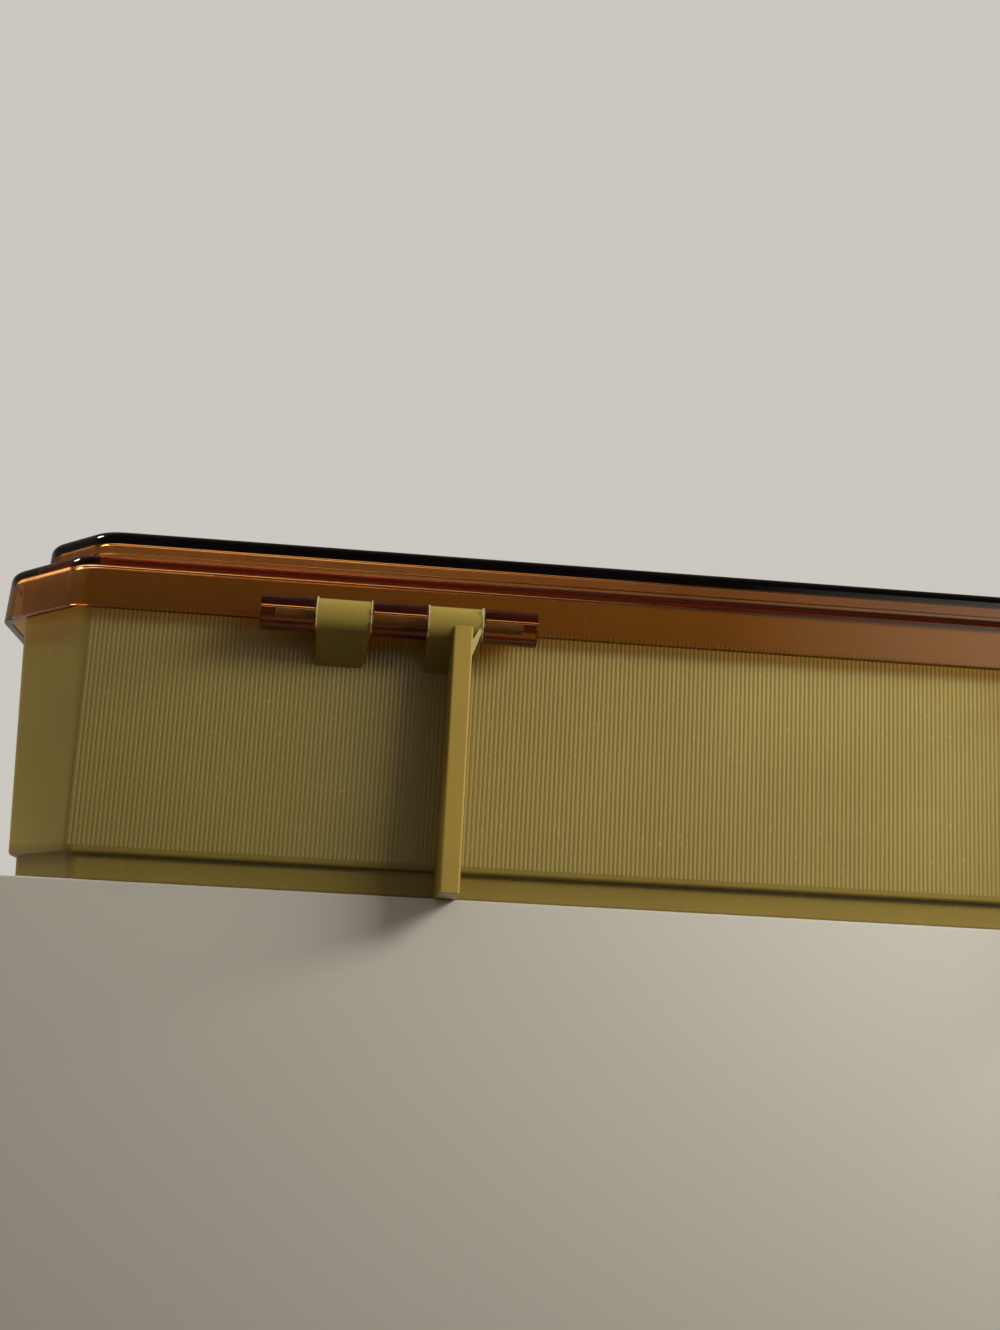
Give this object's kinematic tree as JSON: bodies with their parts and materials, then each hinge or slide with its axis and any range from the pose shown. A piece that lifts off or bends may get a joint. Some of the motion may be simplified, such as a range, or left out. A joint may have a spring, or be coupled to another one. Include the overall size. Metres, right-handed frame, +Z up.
{
  "type": "floss storage box",
  "caption": "Low eight-sided plastic box with a stepped transparent hinged lid, lift-out divided trays, snap latches and a folding handle.",
  "frame": {"origin": "centre of the flat underside", "axes": "+Z up, front towards -Y, hinges at +Y, +X to the right seen from the front"},
  "size_m": [0.3714, 0.2631, 0.0806],
  "materials": {
    "olive_plastic": "satin",
    "amber_plastic": "gloss",
    "tray_plastic": "satin",
    "divider_plastic": "satin",
    "pin_steel": "drawn"
  },
  "bodies": {
    "tub": {"base_tub": "olive_plastic", "tub_floor": "olive_plastic", "tray_partition": "tray_plastic", "tray_rest_ribs": "tray_plastic", "handle_pin_right": "pin_steel", "handle_pin_left": "pin_steel"},
    "lid": {"lid_shell": "amber_plastic", "hinge_pin_right": "pin_steel", "hinge_pin_left": "pin_steel", "latch_pin_right": "pin_steel", "latch_pin_left": "pin_steel"},
    "handle": {"carry_handle": "olive_plastic"},
    "latch_right": {"latch_right": "olive_plastic"},
    "latch_left": {"latch_left": "olive_plastic"},
    "tray_right": {"tray_right": "tray_plastic"},
    "tray_left": {"tray_left": "tray_plastic"},
    "divider_right_inner_front": {"divider_right_inner_front": "divider_plastic"},
    "divider_right_inner_back": {"divider_right_inner_back": "divider_plastic"},
    "divider_right_outer_front": {"divider_right_outer_front": "divider_plastic"},
    "divider_right_outer_back": {"divider_right_outer_back": "divider_plastic"},
    "divider_left_inner_front": {"divider_left_inner_front": "divider_plastic"},
    "divider_left_inner_back": {"divider_left_inner_back": "divider_plastic"},
    "divider_left_outer_front": {"divider_left_outer_front": "divider_plastic"},
    "divider_left_outer_back": {"divider_left_outer_back": "divider_plastic"}
  },
  "joints": [
    {"name": "lid_hinge", "type": "hinge", "parent": "tub", "child": "lid", "pos_m": [0, 0.1276, 0.0598], "axis": [-1, 0, 0], "range_deg": [0, 180]},
    {"name": "handle_swing", "type": "hinge", "parent": "tub", "child": "handle", "pos_m": [0, -0.12401, 0.044], "axis": [-1, 0, 0], "range_deg": [0, 110]},
    {"name": "latch_right_swing", "type": "hinge", "parent": "lid", "child": "latch_right", "pos_m": [0.106, -0.1272, 0.066], "axis": [-1, 0, 0], "range_deg": [-6, 120]},
    {"name": "tray_right_lift", "type": "slide", "parent": "tub", "child": "tray_right", "axis": [0, 0, 1], "range_m": [0, 0.01]},
    {"name": "latch_left_swing", "type": "hinge", "parent": "lid", "child": "latch_left", "pos_m": [-0.106, -0.1272, 0.066], "axis": [-1, 0, 0], "range_deg": [-6, 120]},
    {"name": "tray_left_lift", "type": "slide", "parent": "tub", "child": "tray_left", "axis": [0, 0, 1], "range_m": [0, 0.01]},
    {"name": "divider_right_inner_front_lift", "type": "slide", "parent": "tray_right", "child": "divider_right_inner_front", "axis": [0, 0, 1], "range_m": [0, 0.0125]},
    {"name": "divider_right_inner_back_lift", "type": "slide", "parent": "tray_right", "child": "divider_right_inner_back", "axis": [0, 0, 1], "range_m": [0, 0.0125]},
    {"name": "divider_right_outer_front_lift", "type": "slide", "parent": "tray_right", "child": "divider_right_outer_front", "axis": [0, 0, 1], "range_m": [0, 0.0125]},
    {"name": "divider_right_outer_back_lift", "type": "slide", "parent": "tray_right", "child": "divider_right_outer_back", "axis": [0, 0, 1], "range_m": [0, 0.0125]},
    {"name": "divider_left_inner_front_lift", "type": "slide", "parent": "tray_left", "child": "divider_left_inner_front", "axis": [0, 0, 1], "range_m": [0, 0.0125]},
    {"name": "divider_left_inner_back_lift", "type": "slide", "parent": "tray_left", "child": "divider_left_inner_back", "axis": [0, 0, 1], "range_m": [0, 0.0125]},
    {"name": "divider_left_outer_front_lift", "type": "slide", "parent": "tray_left", "child": "divider_left_outer_front", "axis": [0, 0, 1], "range_m": [0, 0.0125]},
    {"name": "divider_left_outer_back_lift", "type": "slide", "parent": "tray_left", "child": "divider_left_outer_back", "axis": [0, 0, 1], "range_m": [0, 0.0125]}
  ]
}
